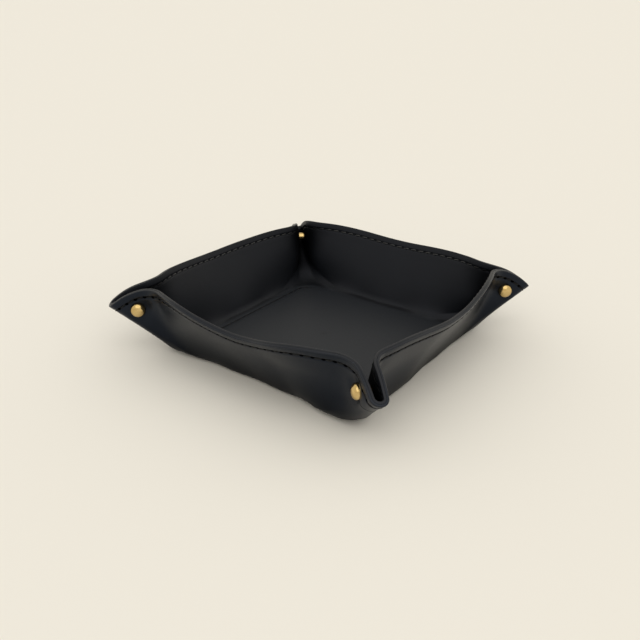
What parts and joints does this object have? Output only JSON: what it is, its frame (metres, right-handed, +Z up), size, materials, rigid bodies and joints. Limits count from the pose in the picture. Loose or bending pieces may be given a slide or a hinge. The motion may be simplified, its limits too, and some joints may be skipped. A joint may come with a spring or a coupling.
{
  "type": "leather valet tray",
  "caption": "Square black leather tray folded from one two-ply blank, its corners pinched into outward ears that domed brass rivets hold.",
  "frame": {"origin": "middle of the underside of the floor", "axes": "+Z up out of the tray, +X and +Y square to its walls, ears on the diagonals"},
  "size_m": [0.1658, 0.1658, 0.0375],
  "materials": {
    "outer_leather": "smooth semi-matte black leather with a burnished edge",
    "lining_leather": "smooth semi-matte black leather",
    "stiffener_board": "grey bonded board, hidden between the plies",
    "rivet_brass": "polished brass"
  },
  "bodies": {
    "root": {"outer_leather": "outer_leather", "lining_leather": "lining_leather", "floor_stiffener": "stiffener_board", "rivet_post_front_right": "rivet_brass", "rivet_cap_front_right": "rivet_brass", "rivet_post_back_right": "rivet_brass", "rivet_cap_back_right": "rivet_brass", "rivet_post_back_left": "rivet_brass", "rivet_cap_back_left": "rivet_brass", "rivet_post_front_left": "rivet_brass", "rivet_cap_front_left": "rivet_brass"}
  },
  "joints": []
}
